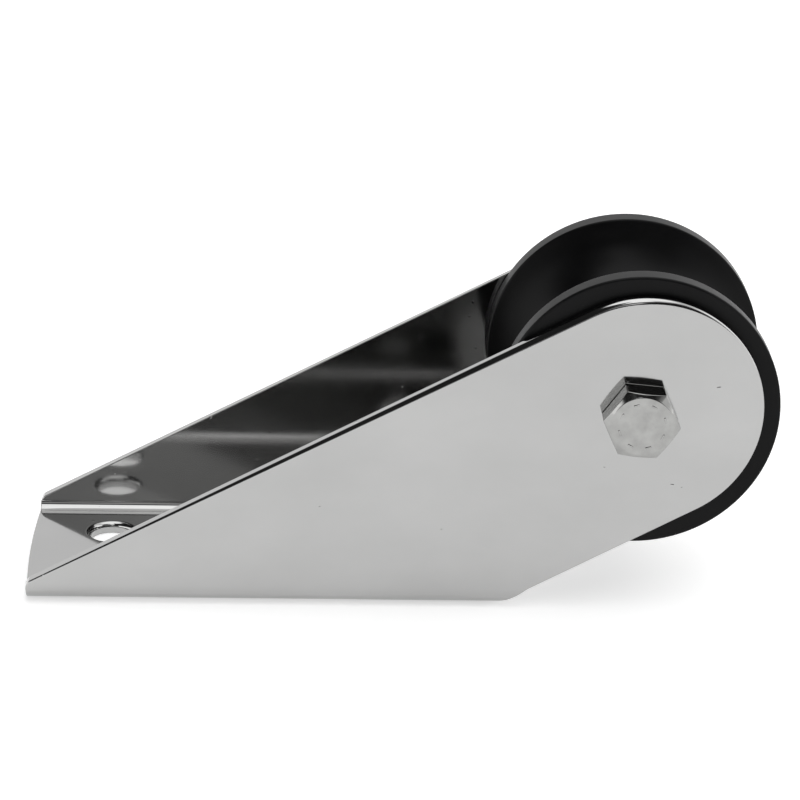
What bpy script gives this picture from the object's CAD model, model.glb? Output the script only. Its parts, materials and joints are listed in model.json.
"""The looks of a bow roller: a folded, mirror-polished stainless channel, a black rubber
roller, and the bolt, nut and bushes that hold it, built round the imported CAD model.
Everything is in metres, in the CAD model's own frame."""

import functools
import json
import math

import bmesh
import bpy
from mathutils import Matrix, Vector
from mathutils.geometry import tessellate_polygon


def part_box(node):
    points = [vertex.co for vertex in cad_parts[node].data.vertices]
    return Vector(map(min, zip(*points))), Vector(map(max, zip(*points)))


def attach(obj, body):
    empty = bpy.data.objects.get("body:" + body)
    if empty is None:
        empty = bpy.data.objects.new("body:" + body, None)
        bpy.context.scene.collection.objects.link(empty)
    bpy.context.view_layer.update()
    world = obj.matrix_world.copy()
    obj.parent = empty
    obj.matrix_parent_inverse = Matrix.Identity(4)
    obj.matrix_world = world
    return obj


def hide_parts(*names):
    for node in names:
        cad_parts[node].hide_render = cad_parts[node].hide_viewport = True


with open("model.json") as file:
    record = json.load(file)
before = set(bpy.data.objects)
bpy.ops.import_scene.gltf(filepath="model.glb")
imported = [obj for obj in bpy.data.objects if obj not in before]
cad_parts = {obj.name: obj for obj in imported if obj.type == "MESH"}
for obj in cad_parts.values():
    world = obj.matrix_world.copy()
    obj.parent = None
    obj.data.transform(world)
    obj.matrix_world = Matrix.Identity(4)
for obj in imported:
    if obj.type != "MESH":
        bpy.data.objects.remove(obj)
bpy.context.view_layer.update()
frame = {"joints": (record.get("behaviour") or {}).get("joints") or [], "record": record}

MM = 0.001
# A sixth of a turn
SIXTH = math.pi / 3
# Points closer than this become one
MERGE = 0.0005 * MM
# Edges sharper than this keep their crease
CREASE = math.radians(35)

# Channel: sizes that the frame gives
mounts = {mount["name"]: mount for mount in frame["record"]["mounts"]}
axle = Vector(frame["joints"][0]["pos_m"])
bracket_low, bracket_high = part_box("bracket")
half_width = bracket_high.y
sheet_t = half_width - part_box("axle_sleeve")[1].y

# Channel: sizes of its own
REAR_BOW = 0.75 * MM
REAR_HEIGHT = 5.6 * MM
REAR_CORNER_R = 2.5 * MM
NOSE_R = 30.25 * MM
FOLD_INNER_R = 2.25 * MM
FLOOR_FRONT = 99 * MM
BOLT_HOLE_R = 5.25 * MM
HOLE_LIP = 1.5 * MM
HOLE_BURR = 0.2 * MM

# Channel: rounding that polishing has left on the outside of its edges. Along the top it
# grows from the rear to the nose, and going round the nose it falls off again between the
# two angles below. The inside of the same edges has the last value.
EDGE_AT_REAR = 0.35 * MM
EDGE_AT_SHOULDER = 1.7 * MM
EDGE_BELOW = 0.35 * MM
FADE_START = math.radians(25)
FADE_END = math.radians(80)
EDGE_INSIDE = 0.2 * MM

# Channel: how many pieces each curve and line of the blank is made of
BOW_STEPS = 12
CORNER_STEPS = 8
TOP_STEPS = 40
NOSE_STEPS = 72
LOW_STEPS = 8
HOLE_STEPS = 72
FOLD_STEPS = 16
EDGE_STEPS = 5

fold_outer_r = FOLD_INNER_R + sheet_t
floor_half = half_width - fold_outer_r
fold_length = math.pi / 2 * (FOLD_INNER_R + sheet_t / 2)
# What is added to a height on the cheek to give its place across the flat blank
cheek_shift = floor_half + fold_length - fold_outer_r
rear_x = bracket_low.x + REAR_BOW
nose = Vector((bracket_high.x - NOSE_R, bracket_high.z - NOSE_R))

# Roller
RIM_W = 5.3 * MM
GROOVE_DEPTH = 16 * MM
RIM_ROUNDING = 0.7 * MM
GROOVE_ROUNDING = 0.5 * MM
GROOVE_STEPS = 48
ROLLER_STEPS = 240

# Bearing
BUSH_R = 9.05 * MM
BUSH_FLANGE_T = 1.5 * MM
BUSH_BORE_R = 7.05 * MM
BUSH_LEAD_IN = 0.5 * MM
SLEEVE_BORE_R = 5.2 * MM
ROUND_STEPS = 96

# How far the corners of turned and pressed parts are rounded
CRISP = 0.1 * MM
EASED = 0.2 * MM
SOFT = 0.3 * MM

# Fasteners
HEX_ACROSS = 17 * MM
HEX_CORNER_R = 0.3 * MM
HEX_SIDE_STEPS = 12
HEX_SLOPE = math.tan(math.radians(30))
HEAD_TURN = math.radians(-5.4)
HEAD_T = 6.4 * MM
HEAD_FACE_R = 7.7 * MM
HEAD_COLLAR_R = 8 * MM
HEAD_COLLAR_T = 0.5 * MM
HEAD_FACE_ROUNDING = 0.25 * MM
HEAD_SIDE_ROUNDING = 0.15 * MM
HEAD_BACK_ROUNDING = 0.35 * MM
SHANK_R = 5 * MM
THREAD_PITCH = 1.5 * MM
THREAD_DEPTH = 0.85 * MM
THREAD_LENGTH = 9 * MM
END_BEVEL = 1 * MM
MARK_COUNT = 8
MARK_PLACE_R = 5.9 * MM
MARK_SIZE = Vector((0.45, 0.4, 1.5)) * MM
MARK_BEVEL = 0.12 * MM
NUT_HEX_T = 7 * MM
NUT_FACE_R = 8 * MM
NUT_COLLAR_R = 7.7 * MM
NUT_BORE_R = 5.05 * MM
NUT_MOUTH_R = 5.7 * MM
NUT_LIP_T = 0.5 * MM
NUT_ROLL = 1.1 * MM
WASHER_BORE_R = 5.25 * MM
WASHER_ROUNDING = 0.35 * MM
INSERT_BORE_R = 4.9 * MM


# ---------------------------------------------------------------- materials


def add_node(tree, kind, inputs=None, **settings):
    """Adds a node, sets its fields, and links or sets its inputs."""
    node = tree.nodes.new("ShaderNode" + kind)
    for field, value in settings.items():
        setattr(node, field, value)
    for key, value in (inputs or {}).items():
        if isinstance(value, bpy.types.NodeSocket):
            tree.links.new(value, node.inputs[key])
        else:
            node.inputs[key].default_value = value
    return node


def new_material(name, **surface):
    """A material with one Principled shader, whose sockets are set from surface."""
    material = bpy.data.materials.new(name)
    material.use_nodes = True
    shader = material.node_tree.nodes["Principled BSDF"]
    for key, value in surface.items():
        shader.inputs[key.replace("_", " ")].default_value = value
    return material, material.node_tree, shader


def noise(tree, scale, stretch=(1, 1, 1), detail=4, roughness=0.55):
    """Noise fixed to the object, with scale in features per metre."""
    place = add_node(tree, "TexCoord").outputs["Object"]
    stretched = add_node(tree, "Mapping", {"Vector": place, "Scale": stretch})
    settings = {
        "Vector": stretched.outputs["Vector"],
        "Scale": scale,
        "Detail": detail,
        "Roughness": roughness,
    }
    return add_node(tree, "TexNoise", settings).outputs["Fac"]


def spread(tree, value, low, high, start=0.3, end=0.7):
    """Maps the middle of a noise, from start to end, onto low to high."""
    settings = {
        "Value": value,
        "From Min": start,
        "From Max": end,
        "To Min": low,
        "To Max": high,
    }
    return add_node(tree, "MapRange", settings).outputs["Result"]


def tones(tree, factor, dark, light):
    """A colour between dark and light by factor."""
    mix = add_node(tree, "Mix", data_type="RGBA")
    tree.links.new(factor, mix.inputs["Factor"])
    mix.inputs["A"].default_value = (*dark, 1)
    mix.inputs["B"].default_value = (*light, 1)
    return mix.outputs["Result"]


def dents(tree, height, distance, strength=1.0, under=None):
    """A bump of the given depth in metres, over another one if under is given."""
    settings = {"Height": height, "Distance": distance, "Strength": strength}
    if under is not None:
        settings["Normal"] = under
    return add_node(tree, "Bump", settings).outputs["Normal"]


def polished_steel():
    """Mirror-polished sheet, with cloudy wipe marks, a few nicks and the faint waviness of
    the polish."""
    material, tree, shader = new_material("polished_steel_look", Metallic=1.0)
    clouds = spread(tree, noise(tree, 22, (1, 1, 1.6), 5), 0, 1)
    wipes = noise(tree, 60, (1, 1, 2.5), 6, 0.65)
    hairlines = noise(tree, 900, (0.03, 1, 1), 3)
    nicks = spread(tree, noise(tree, 330, detail=1), 0, 1, 0.76, 0.8)
    colour = tones(tree, clouds, (0.4, 0.4, 0.397), (0.438, 0.438, 0.435))
    tree.links.new(colour, shader.inputs["Base Color"])
    tree.links.new(spread(tree, wipes, 0.06, 0.11), shader.inputs["Roughness"])
    waves = dents(tree, noise(tree, 35, detail=1), 0.006 * MM)
    scratched = dents(tree, hairlines, 0.0003 * MM, 1, waves)
    tree.links.new(dents(tree, nicks, -0.05 * MM, 1, scratched), shader.inputs["Normal"])
    return material


def fastener_steel():
    """Cold-headed stainless: satin, finely pitted and a little uneven in tone."""
    material, tree, shader = new_material("fastener_steel_look", Metallic=1.0)
    blotches = noise(tree, 260, detail=5)
    pits = noise(tree, 2600, detail=3)
    colour = tones(tree, spread(tree, blotches, 0, 1), (0.30, 0.30, 0.293), (0.38, 0.38, 0.372))
    tree.links.new(colour, shader.inputs["Base Color"])
    tree.links.new(spread(tree, pits, 0.09, 0.16), shader.inputs["Roughness"])
    forged = dents(tree, blotches, 0.012 * MM)
    tree.links.new(dents(tree, pits, 0.0015 * MM, 1, forged), shader.inputs["Normal"])
    return material


def turned_steel():
    """Lathe-turned tube, with fine rings round the axle."""
    material, tree, shader = new_material("turned_steel_look", Metallic=1.0)
    rings = noise(tree, 6000, (0.02, 1, 0.02), 3)
    colour = tones(tree, spread(tree, rings, 0, 1), (0.50, 0.50, 0.49), (0.58, 0.58, 0.57))
    tree.links.new(colour, shader.inputs["Base Color"])
    tree.links.new(spread(tree, rings, 0.2, 0.36), shader.inputs["Roughness"])
    tree.links.new(dents(tree, rings, 0.003 * MM), shader.inputs["Normal"])
    return material


def black_rubber():
    """Moulded black rubber: a soft bloom in patches over a finely pebbled skin."""
    material, tree, shader = new_material("black_rubber_look")
    shader.inputs["Specular IOR Level"].default_value = 0.12
    bloom = noise(tree, 45, detail=5)
    pebbles = noise(tree, 2200, detail=2)
    colour = tones(tree, spread(tree, bloom, 0, 1), (0.002, 0.002, 0.0022), (0.005, 0.005, 0.0053))
    tree.links.new(colour, shader.inputs["Base Color"])
    tree.links.new(spread(tree, bloom, 0.3, 0.4), shader.inputs["Roughness"])
    moulded = dents(tree, noise(tree, 120, detail=2), 0.03 * MM)
    tree.links.new(dents(tree, pebbles, 0.008 * MM, 1, moulded), shader.inputs["Normal"])
    return material


def white_nylon():
    """Turned nylon, slightly yellow, with fine rings round the axle."""
    material, tree, shader = new_material("white_nylon_look", Subsurface_Weight=0.1)
    shader.inputs["Subsurface Radius"].default_value = (MM, MM, 0.8 * MM)
    rings = noise(tree, 3000, (0.03, 1, 0.03), 3)
    colour = tones(tree, noise(tree, 150), (0.72, 0.70, 0.64), (0.84, 0.82, 0.77))
    tree.links.new(colour, shader.inputs["Base Color"])
    tree.links.new(spread(tree, rings, 0.3, 0.45), shader.inputs["Roughness"])
    tree.links.new(dents(tree, rings, 0.004 * MM), shader.inputs["Normal"])
    return material


# ---------------------------------------------------------------- making pieces


@functools.cache
def shared_material(make_material):
    """The material that the function makes, made once for all the pieces that have it."""
    return make_material()


def make_piece(name, bm, make_material, body, node, normals=None):
    """Turns a bmesh into a piece that rides on body and stands for a CAD node. The function
    that makes its material has the name of its slot in the record."""
    bmesh.ops.recalc_face_normals(bm, faces=bm.faces)
    mesh = bpy.data.meshes.new(name)
    bm.to_mesh(mesh)
    bm.free()
    mesh.shade_smooth()
    piece = bpy.data.objects.new(name, mesh)
    bpy.context.scene.collection.objects.link(piece)
    if normals is None:
        mesh.set_sharp_from_angle(angle=CREASE)
        smoothing = piece.modifiers.new("weighted", "WEIGHTED_NORMAL")
        smoothing.keep_sharp = True
    else:
        mesh.normals_split_custom_set_from_vertices(normals)
    mesh.materials.append(shared_material(make_material))
    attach(piece, body)
    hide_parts(node)
    return piece


def rounded(corners, closed=False, steps=4):
    """A section with its corners rounded. A corner is (along Y, radius, rounding), where
    rounding is the length that is taken from both sides of the corner."""
    points = []
    count = len(corners)
    for i, (y, radius, size) in enumerate(corners):
        here = Vector((y, radius))
        if size == 0 or (not closed and i in (0, count - 1)):
            points.append(here)
            continue
        to_last = (Vector(corners[i - 1][:2]) - here).normalized() * size
        to_next = (Vector(corners[(i + 1) % count][:2]) - here).normalized() * size
        for step in range(steps + 1):
            t = step / steps
            points.append(here + to_last * (1 - t) ** 2 + to_next * t ** 2)
    return points


def sweep_round(bm, section_at, angles, closed=False, shift=0):
    """Sweeps a section round the axle. section_at(angle) lists its points as
    (along Y, radius). shift says by how many points the section moves on in one turn."""
    columns = []
    for angle in angles:
        out = Vector((math.cos(angle), 0, math.sin(angle)))
        centre = Vector((axle.x, 0, axle.z))
        points = [centre + out * r + Vector((0, y, 0)) for y, r in section_at(angle)]
        columns.append([bm.verts.new(point) for point in points])
    pairs = list(zip(columns, columns[1:])) + [(columns[-1], columns[0][shift:])]
    for here, there in pairs:
        if closed:
            here = here + here[:1]
            there = there + there[:1]
        for i in range(min(len(here), len(there)) - 1):
            bm.faces.new((here[i], here[i + 1], there[i + 1], there[i]))
    bmesh.ops.remove_doubles(bm, verts=bm.verts, dist=MERGE)
    bmesh.ops.dissolve_degenerate(bm, edges=bm.edges, dist=MERGE)


def round_angles(count=ROUND_STEPS):
    """Evenly spaced angles round the axle."""
    return [2 * math.pi * i / count for i in range(count)]


def make_ring(name, corners, make_material, body, node):
    """A ring round the axle whose section has the given corners."""
    bm = bmesh.new()
    section = rounded(corners, closed=True)
    sweep_round(bm, lambda angle: section, round_angles(), closed=True)
    return make_piece(name, bm, make_material, body, node)


# ---------------------------------------------------------------- channel


def arc(centre, radius, start, end, steps):
    """Points on an arc about centre, both ends included."""
    angles = [start + (end - start) * i / steps for i in range(steps + 1)]
    return [centre + radius * Vector((math.cos(a), math.sin(a))) for a in angles]


def line(start, end, steps):
    """Points on a line, its own start included and its end left out."""
    return [start.lerp(end, i / steps) for i in range(steps)]


def touch_angle(point, centre, radius, side):
    """Slope of the line from point that touches a circle above it (1) or below it (-1)."""
    reach = centre - point
    return math.atan2(reach.y, reach.x) + side * math.asin(radius / reach.length)


def cheek_edge():
    """One cheek's edge in side view as (x, height) and its rounding, from the top of the
    fold at the rear, over the nose, to the top of the fold in front."""
    rear_top = Vector((rear_x, REAR_HEIGHT))
    top_slope = touch_angle(rear_top, nose, NOSE_R, 1)
    low_slope = touch_angle(Vector((FLOOR_FRONT, 0)), nose, NOSE_R, -1)
    up = top_slope + math.pi / 2
    down = low_slope - math.pi / 2
    corner_run = REAR_CORNER_R * math.tan((math.pi / 2 - top_slope) / 2)
    corner_centre = Vector((rear_x + REAR_CORNER_R, REAR_HEIGHT - corner_run))
    corner = arc(corner_centre, REAR_CORNER_R, math.pi, up, CORNER_STEPS)
    over_nose = arc(nose, NOSE_R, up, down, NOSE_STEPS)
    top = line(corner[-1], over_nose[0], TOP_STEPS)[1:]
    end = Vector((FLOOR_FRONT + fold_outer_r / math.tan(low_slope), fold_outer_r))
    low = line(over_nose[-1], end, LOW_STEPS)[1:] + [end]
    growth = EDGE_AT_SHOULDER - EDGE_AT_REAR
    edge = [(point, EDGE_AT_REAR) for point in corner]
    edge += [(point, EDGE_AT_REAR + growth * i / len(top)) for i, point in enumerate(top)]
    for point in over_nose:
        turned_by = up - math.atan2(point.y - nose.y, point.x - nose.x)
        fade = min(max((turned_by - FADE_START) / (FADE_END - FADE_START), 0), 1)
        edge.append((point, EDGE_AT_SHOULDER + (EDGE_BELOW - EDGE_AT_SHOULDER) * fade))
    return edge + [(point, EDGE_BELOW) for point in low]


def blank_outline():
    """The flat blank's outline as (along, across) and the rounding of its edge there."""
    half = []
    for i in range(BOW_STEPS + 1):
        across = floor_half * i / BOW_STEPS
        bulge = REAR_BOW * (1 - (across / floor_half) ** 2)
        half.append((Vector((rear_x - bulge, across)), EDGE_AT_REAR))
    for point, rounding in cheek_edge():
        half.append((point + Vector((0, cheek_shift)), rounding))
    half.append((Vector((FLOOR_FRONT, floor_half)), EDGE_BELOW))
    mirrored = [(Vector((point.x, -point.y)), rounding) for point, rounding in half[:0:-1]]
    return half + mirrored


def circle_outline(centre, radius, rounding):
    """A hole's outline in the blank, run the other way round from the blank's own."""
    circle = arc(centre, radius, 0, 2 * math.pi * (1 - 1 / HOLE_STEPS), HOLE_STEPS - 1)
    return [(point, rounding) for point in circle]


def edge_section(bottom_r, top_r):
    """The sheet's rounded edge: how far in from the outline, how high in the sheet, and
    the surface's direction there as (outwards, upwards)."""
    section = []
    for step in range(EDGE_STEPS + 1):
        a = math.pi / 2 * (step / EDGE_STEPS - 1)
        section.append((bottom_r * (1 - math.cos(a)), bottom_r * (1 + math.sin(a)), a))
    for step in range(EDGE_STEPS + 1):
        a = math.pi / 2 * step / EDGE_STEPS
        section.append((top_r * (1 - math.cos(a)), sheet_t - top_r * (1 - math.sin(a)), a))
    return [(inset, height, math.cos(a), math.sin(a)) for inset, height, a in section]


def inward(outline, i):
    """The direction into the sheet at a point of an outline, longer at a corner, but at most
    twice as long, so that an inset line stays parallel to both sides."""
    here = outline[i][0]
    before = (here - outline[i - 1][0]).normalized()
    after = (outline[(i + 1) % len(outline)][0] - here).normalized()
    along = (before + after).normalized()
    shortest = 0.5
    return Vector((along.y, -along.x)) / max(along.dot(before), shortest)


def add_edge(bm, normal_layer, outline, bottom_r=None, top_r=None):
    """Adds the edge along one outline, rounded as the outline says unless a radius is given
    for the blank's bottom, which is the channel's outside, or for its top. Returns the
    lowest and the highest row of points."""
    columns = []
    for i, (point, rounding) in enumerate(outline):
        into = inward(outline, i)
        out = -into.normalized()
        column = []
        section = edge_section(bottom_r or rounding, top_r or rounding)
        for inset, height, outwards, upwards in section:
            vert = bm.verts.new((*(point + into * inset), height))
            vert[normal_layer] = (out.x * outwards, out.y * outwards, upwards)
            column.append(vert)
        columns.append(column)
    for here, there in zip(columns, columns[1:] + columns[:1]):
        for i in range(len(here) - 1):
            bm.faces.new((here[i], there[i], there[i + 1], here[i + 1]))
    return [column[0] for column in columns], [column[-1] for column in columns]


def fill_flat(bm, rows):
    """Fills between an outline's row of points and the rows of the holes in it."""
    points = [vert for row in rows for vert in row]
    for triangle in tessellate_polygon([[vert.co for vert in row] for row in rows]):
        bm.faces.new([points[i] for i in triangle])


def fold_angle(across):
    """How far the sheet has turned up at a place across the blank, less than 0 to the right."""
    past_floor = max(abs(across) - floor_half, 0)
    return math.copysign(min(past_floor / fold_length, 1) * math.pi / 2, across)


def folded(point):
    """Where a point of the flat blank lies once both folds are made."""
    angle = fold_angle(point.y)
    if angle == 0:
        return point.copy()
    radius = fold_outer_r - point.z
    straight = max(abs(point.y) - floor_half - fold_length, 0)
    y = math.copysign(floor_half, point.y) + radius * math.sin(angle)
    return Vector((point.x, y, fold_outer_r - radius * math.cos(angle) + straight))


def make_channel():
    """Cuts the flat blank with its five holes, and folds it up on both sides."""
    bm = bmesh.new()
    normal_layer = bm.verts.layers.float_vector.new("flat_normal")
    rear = Vector(mounts["rear_holes"]["pos_m"])
    gap = mounts["rear_holes"]["dims"]["spacing_y_mm"] * MM
    hole_r = mounts["rear_holes"]["dims"]["hole_r_mm"] * MM
    front = Vector(mounts["front_hole"]["pos_m"])
    bolt_across = axle.z + cheek_shift
    holes = [
        circle_outline(Vector((rear.x, -gap / 2)), hole_r, HOLE_LIP),
        circle_outline(Vector((rear.x, gap / 2)), hole_r, HOLE_LIP),
        circle_outline(Vector((front.x, 0)), hole_r, HOLE_LIP),
        circle_outline(Vector((axle.x, -bolt_across)), BOLT_HOLE_R, HOLE_BURR),
        circle_outline(Vector((axle.x, bolt_across)), BOLT_HOLE_R, HOLE_BURR),
    ]
    rows = [add_edge(bm, normal_layer, blank_outline(), top_r=EDGE_INSIDE)]
    rows += [add_edge(bm, normal_layer, hole, bottom_r=HOLE_BURR) for hole in holes]
    fill_flat(bm, [low for low, high in rows])
    fill_flat(bm, [high for low, high in rows])
    for step in range(FOLD_STEPS + 1):
        across = floor_half + fold_length * step / FOLD_STEPS
        for side in (-across, across):
            everything = [*bm.verts, *bm.edges, *bm.faces]
            bmesh.ops.bisect_plane(
                bm, geom=everything, dist=MERGE, plane_co=(0, side, 0), plane_no=(0, 1, 0)
            )
    bmesh.ops.triangulate(bm, faces=bm.faces)
    normals = []
    for vert in bm.verts:
        turn = Matrix.Rotation(fold_angle(vert.co.y), 3, "X")
        normals.append((turn @ vert[normal_layer]).normalized())
        vert.co = folded(vert.co)
    bm.verts.layers.float_vector.remove(normal_layer)
    return make_piece("channel", bm, polished_steel, "bracket", "bracket", normals)


# ---------------------------------------------------------------- roller and bearing


def make_roller():
    """The grooved rubber roller, with a seat for a bush's flange in each side."""
    low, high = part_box("roller")
    half = high.y
    outer_r = (high.z - low.z) / 2
    seat = half + BUSH_FLANGE_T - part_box("bush_far")[1].y
    flange_r = (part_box("bush_far")[1].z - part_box("bush_far")[0].z) / 2
    groove_half = half - RIM_W
    groove_r = (groove_half ** 2 + GROOVE_DEPTH ** 2) / (2 * GROOVE_DEPTH)
    centre_r = outer_r - GROOVE_DEPTH + groove_r
    reach = math.asin(groove_half / groove_r)
    groove = []
    for i in range(1, GROOVE_STEPS):
        a = reach * (2 * i / GROOVE_STEPS - 1)
        groove.append((groove_r * math.sin(a), centre_r - groove_r * math.cos(a), 0))
    corners = [
        (half - seat, BUSH_R, 0),
        (half - seat, flange_r, 0),
        (half, flange_r, EASED),
        (half, outer_r, RIM_ROUNDING),
        (groove_half, outer_r, GROOVE_ROUNDING),
        *reversed(groove),
        (-groove_half, outer_r, GROOVE_ROUNDING),
        (-half, outer_r, RIM_ROUNDING),
        (-half, flange_r, EASED),
        (seat - half, flange_r, 0),
        (seat - half, BUSH_R, 0),
    ]
    bm = bmesh.new()
    section = rounded(corners, closed=True)
    sweep_round(bm, lambda angle: section, round_angles(ROLLER_STEPS), closed=True)
    return make_piece("rubber_roller", bm, black_rubber, "roller", "roller")


def make_bush(name, node):
    """A flanged bush. Its flange is on the side of the nearer cheek."""
    low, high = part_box(node)
    face, end = (high.y, low.y) if high.y > -low.y else (low.y, high.y)
    inwards = math.copysign(1, end - face)
    flange_r = (high.z - low.z) / 2
    corners = [
        (face, BUSH_BORE_R, SOFT),
        (face, flange_r, SOFT),
        (face + inwards * BUSH_FLANGE_T, flange_r, EASED),
        (face + inwards * BUSH_FLANGE_T, BUSH_R, 0),
        (end, BUSH_R, BUSH_LEAD_IN),
        (end, BUSH_BORE_R, SOFT),
    ]
    return make_ring(name, corners, white_nylon, "roller", node)


def make_plain_ring(name, node, bore_r, rounding, make_material):
    """A tube or washer that fills its CAD node's box round the axle."""
    low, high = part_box(node)
    outer_r = (high.z - low.z) / 2
    corners = [
        (low.y, bore_r, rounding),
        (low.y, outer_r, rounding),
        (high.y, outer_r, rounding),
        (high.y, bore_r, rounding),
    ]
    return make_ring(name, corners, make_material, "bracket", node)


# ---------------------------------------------------------------- bolt and nut


def hexagon_radius(angle, turn):
    """Distance from the middle of a hexagon to its side, its corners rounded."""
    from_corner = abs((angle - turn + SIXTH / 2) % SIXTH - SIXTH / 2)
    arc_centre = (HEX_ACROSS / 2 - HEX_CORNER_R) / math.cos(SIXTH / 2)
    if from_corner < corner_reach():
        offset = arc_centre * math.sin(from_corner)
        return arc_centre * math.cos(from_corner) + math.sqrt(HEX_CORNER_R ** 2 - offset ** 2)
    return HEX_ACROSS / 2 / math.cos(SIXTH / 2 - from_corner)


def corner_reach():
    """Half the angle that a hexagon's rounded corner takes up."""
    arc_centre = (HEX_ACROSS / 2 - HEX_CORNER_R) / math.cos(SIXTH / 2)
    across = HEX_CORNER_R * math.sin(SIXTH / 2)
    return math.atan2(across, arc_centre + HEX_CORNER_R * math.cos(SIXTH / 2))


def hexagon_angles(turn):
    """Angles round a hexagon, closer together at its corners."""
    reach = corner_reach()
    side = SIXTH - 2 * reach
    offsets = [-reach, -reach / 2, 0, reach / 2]
    offsets += [reach + side * i / HEX_SIDE_STEPS for i in range(HEX_SIDE_STEPS)]
    return [turn + corner * SIXTH + offset for corner in range(6) for offset in offsets]


def head_section(angle):
    """The bolt's head and plain shank, from the middle of the face to the thread."""
    side_r = hexagon_radius(angle, HEAD_TURN)
    seat = -half_width
    face = seat - HEAD_T
    collar = seat - HEAD_COLLAR_T
    thread_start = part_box("axle_bolt")[1].y - THREAD_LENGTH
    return rounded([
        (face, 0, 0),
        (face, HEAD_FACE_R, HEAD_FACE_ROUNDING),
        (face + (side_r - HEAD_FACE_R) * HEX_SLOPE, side_r, HEAD_SIDE_ROUNDING),
        (collar, side_r, HEAD_BACK_ROUNDING),
        (collar, HEAD_COLLAR_R, 0),
        (seat, HEAD_COLLAR_R, CRISP),
        (seat, SHANK_R, 0),
        (thread_start, SHANK_R, 0),
    ])


def thread_point(along, end, radius):
    """(Along Y, radius) at a place along the thread. Before the thread it is the shank,
    and past the bolt's end the surface turns in to the middle."""
    start = end - THREAD_LENGTH
    y = min(max(along, start), end)
    if along <= start:
        radius = SHANK_R
    bevelled = min(radius, SHANK_R - END_BEVEL + end - y)
    return y, bevelled * max(1 - max(along - end, 0) / THREAD_PITCH, 0)


def add_thread(bm, angles):
    """The thread at the bolt's end, as one helix that joins on to the shank."""
    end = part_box("axle_bolt")[1].y
    root_r = SHANK_R - THREAD_DEPTH
    form = [(0, SHANK_R), (1 / 8, SHANK_R), (7 / 16, root_r), (11 / 16, root_r)]
    turns = math.ceil(THREAD_LENGTH / THREAD_PITCH) + 2

    def section(angle):
        turned_by = (angle - angles[0]) / (2 * math.pi)
        points = []
        for turn in range(-1, turns):
            for share, radius in form:
                along = end - THREAD_LENGTH + (turn + share + turned_by) * THREAD_PITCH
                points.append(thread_point(along, end, radius))
        return points

    sweep_round(bm, section, angles, shift=len(form))


def add_marks(bm):
    """Plain raised dashes in a ring on the head's face."""
    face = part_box("axle_bolt")[0].y
    for i in range(MARK_COUNT):
        turn = Matrix.Rotation(-HEAD_TURN - (i + 0.5) * 2 * math.pi / MARK_COUNT, 4, "Y")
        place = Matrix.Translation((MARK_PLACE_R, 0, 0))
        middle = Matrix.Translation((axle.x, face + MARK_SIZE.y / 2, axle.z))
        size = Matrix.Diagonal((*MARK_SIZE, 1))
        made = bmesh.ops.create_cube(bm, size=1, matrix=middle @ turn @ place @ size)
        edges = {edge for vert in made["verts"] for edge in vert.link_edges}
        bmesh.ops.bevel(
            bm, geom=list(edges), offset=MARK_BEVEL, segments=3, affect="EDGES", profile=0.5
        )


def make_bolt():
    """Hexagon bolt: head, collar, shank and thread."""
    bm = bmesh.new()
    angles = hexagon_angles(HEAD_TURN)
    sweep_round(bm, head_section, angles)
    add_thread(bm, angles)
    add_marks(bm)
    return make_piece("hexagon_bolt", bm, fastener_steel, "bracket", "axle_bolt")


def make_lock_nut():
    """Lock nut: a hexagon, and the rolled collar that holds the nylon ring."""
    low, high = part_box("lock_nut")
    shoulder = low.y + NUT_HEX_T
    insert_low, insert_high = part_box("nut_insert")
    pocket_r = (insert_high.z - insert_low.z) / 2

    def section(angle):
        side_r = hexagon_radius(angle, 0)
        return rounded([
            (low.y, NUT_BORE_R, SOFT),
            (low.y, NUT_FACE_R, EASED),
            (low.y + (side_r - NUT_FACE_R) * HEX_SLOPE, side_r, CRISP),
            (shoulder - (side_r - NUT_COLLAR_R) * HEX_SLOPE, side_r, CRISP),
            (shoulder, NUT_COLLAR_R, EASED),
            (high.y, NUT_COLLAR_R, NUT_ROLL),
            (high.y, NUT_MOUTH_R, EASED),
            (high.y - NUT_LIP_T, NUT_MOUTH_R, CRISP),
            (high.y - NUT_LIP_T, pocket_r, 0),
            (insert_low.y, pocket_r, 0),
            (insert_low.y, NUT_BORE_R, CRISP),
        ], closed=True)

    bm = bmesh.new()
    sweep_round(bm, section, hexagon_angles(0), closed=True)
    return make_piece("lock_nut_body", bm, fastener_steel, "bracket", "lock_nut")


# ---------------------------------------------------------------- studio


# Brightness of the studio all round, and the light that the white table gives off itself
STUDIO_BRIGHTNESS = 1.27
TABLE_GLOW = 0.44
# Areas of the studio that differ from the rest, laid one over another: the direction of the
# middle as azimuth (0 towards -Y, 90 towards +X) and elevation, half the width and height,
# the softness of the border, all in degrees, and the brightness
STUDIO_AREAS = [
    ("overhead light", (0, 90), (360, 25), 4, 2.4),
    ("right light", (88, 20), (30, 30), 8, 2.4),
    ("dark left", (-81, 24), (69, 42), 4, 0.03),
    ("left light", (-84, 8), (50, 17), 4, 2.2),
    ("dark right", (45, 40), (16, 16), 4, 0.1),
    ("dark front", (10, 17), (24, 31), 4, 0.03),
    ("front light", (0, 57), (13, 12), 3, 2.4),
    ("front table", (-21, 3), (13, 9), 3, 0.6),
    ("grey window", (-2.5, 23), (6.5, 8), 2, 0.58),
    ("bright window", (1.2, 23), (2.6, 7), 1.5, 1.4),
]


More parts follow.
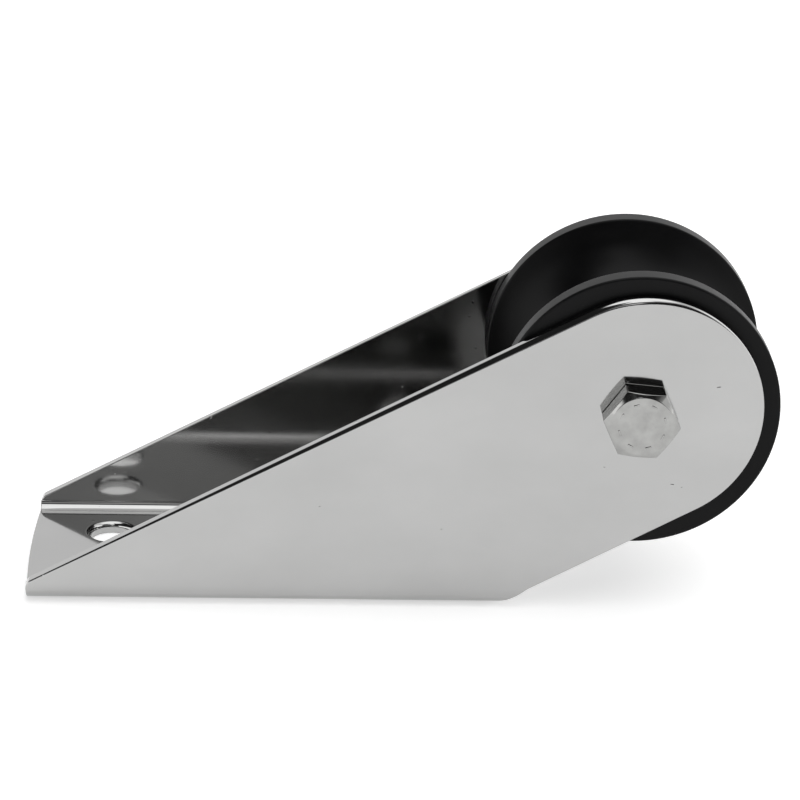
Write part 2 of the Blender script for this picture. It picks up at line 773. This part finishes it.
def inside_area(tree, azimuth, elevation, middle, half, soft):
    """1 inside an area of the studio and 0 outside it, with a soft border."""
    inside = []
    for value, centre, reach in zip((azimuth, elevation), middle, half):
        offset = add_node(tree, "Math", {0: value, 1: math.radians(centre)}, operation="SUBTRACT")
        away = add_node(tree, "Math", {0: offset.outputs[0]}, operation="ABSOLUTE")
        settings = {
            "Value": away.outputs[0],
            "From Min": math.radians(reach - soft),
            "From Max": math.radians(reach + soft),
            "To Min": 1,
            "To Max": 0,
        }
        fade = add_node(tree, "MapRange", settings, interpolation_type="SMOOTHSTEP")
        inside.append(fade.outputs["Result"])
    return add_node(tree, "Math", dict(enumerate(inside)), operation="MULTIPLY").outputs[0]


def make_studio():
    """A bright studio all round, with lights, windows and the dark room that the camera
    stands in. What the camera sees past the floor is plain white."""
    world = bpy.data.worlds.new("studio")
    world.use_nodes = True
    tree = world.node_tree
    tree.nodes.clear()
    direction = add_node(tree, "TexCoord").outputs["Generated"]
    parts = add_node(tree, "SeparateXYZ", {0: direction}).outputs
    forward = add_node(tree, "Math", {0: parts["Y"], 1: -1}, operation="MULTIPLY").outputs[0]
    azimuth = add_node(tree, "Math", {0: parts["X"], 1: forward}, operation="ARCTAN2").outputs[0]
    elevation = add_node(tree, "Math", {0: parts["Z"]}, operation="ARCSINE").outputs[0]
    brightness = add_node(tree, "Value").outputs[0]
    brightness.default_value = STUDIO_BRIGHTNESS
    for name, middle, half, soft, level in STUDIO_AREAS:
        factor = inside_area(tree, azimuth, elevation, middle, half, soft)
        mix = add_node(tree, "Mix", {"Factor": factor, "A": brightness, "B": level}, label=name)
        brightness = mix.outputs["Result"]
    seen = add_node(tree, "LightPath").outputs["Is Camera Ray"]
    shown = add_node(tree, "Mix", {"Factor": seen, "A": brightness, "B": 1.0}).outputs["Result"]
    background = add_node(tree, "Background", {"Strength": shown})
    output = add_node(tree, "OutputWorld")
    tree.links.new(background.outputs[0], output.inputs["Surface"])
    bpy.context.scene.world = world


def make_floor():
    """A wide white table at the object's foot, lit a little from inside."""
    reach = 20
    bm = bmesh.new()
    corners = [(-reach, -reach, 0), (reach, -reach, 0), (reach, reach, 0), (-reach, reach, 0)]
    bm.faces.new([bm.verts.new(corner) for corner in corners])
    mesh = bpy.data.meshes.new("floor")
    bm.to_mesh(mesh)
    bm.free()
    floor = bpy.data.objects.new("floor", mesh)
    bpy.context.scene.collection.objects.link(floor)
    material, tree, shader = new_material("floor_paper", Roughness=1.0)
    paper = tones(tree, noise(tree, 400), (0.88, 0.88, 0.88), (0.9, 0.9, 0.9))
    tree.links.new(paper, shader.inputs["Base Color"])
    shader.inputs["Specular IOR Level"].default_value = 0
    shader.inputs["Emission Color"].default_value = (1, 1, 1, 1)
    shader.inputs["Emission Strength"].default_value = TABLE_GLOW
    mesh.materials.append(material)


# Camera: its lens in millimetres, its place, how far it looks to the right and down, and
# how far it leans over
LENS = 144.26
CAMERA_PLACE = Vector((46.18, -771.84, 357.04)) * MM
CAMERA_YAW = math.radians(2.183)
CAMERA_PITCH = math.radians(21.946)
CAMERA_ROLL = math.radians(1.536)


def make_camera():
    """A long lens, looking down at the near side from a little left of the middle."""
    data = bpy.data.cameras.new("camera")
    data.sensor_width = 36
    data.lens = LENS
    data.clip_start = 0.01
    data.clip_end = 100
    camera = bpy.data.objects.new("camera", data)
    yaw = Matrix.Rotation(-CAMERA_YAW, 4, "Z")
    pitch = Matrix.Rotation(math.pi / 2 - CAMERA_PITCH, 4, "X")
    roll = Matrix.Rotation(CAMERA_ROLL, 4, "Z")
    camera.matrix_world = Matrix.Translation(CAMERA_PLACE) @ yaw @ pitch @ roll
    bpy.context.scene.collection.objects.link(camera)
    bpy.context.scene.camera = camera


BOUNCES = 16


def set_up_scene():
    """Plain colours, and enough bounces for light between the two polished cheeks."""
    scene = bpy.context.scene
    scene.view_settings.view_transform = "Standard"
    scene.cycles.max_bounces = BOUNCES
    scene.cycles.glossy_bounces = BOUNCES


set_up_scene()
make_camera()
make_studio()
make_floor()
make_channel()
make_roller()
make_bush("near_bush", "bush_near")
make_bush("far_bush", "bush_far")
make_plain_ring("spacer_tube", "axle_sleeve", SLEEVE_BORE_R, EASED, turned_steel)
make_bolt()
make_plain_ring("plain_washer", "nut_washer", WASHER_BORE_R, WASHER_ROUNDING, fastener_steel)
make_lock_nut()
make_plain_ring("nylon_ring", "nut_insert", INSERT_BORE_R, CRISP, white_nylon)
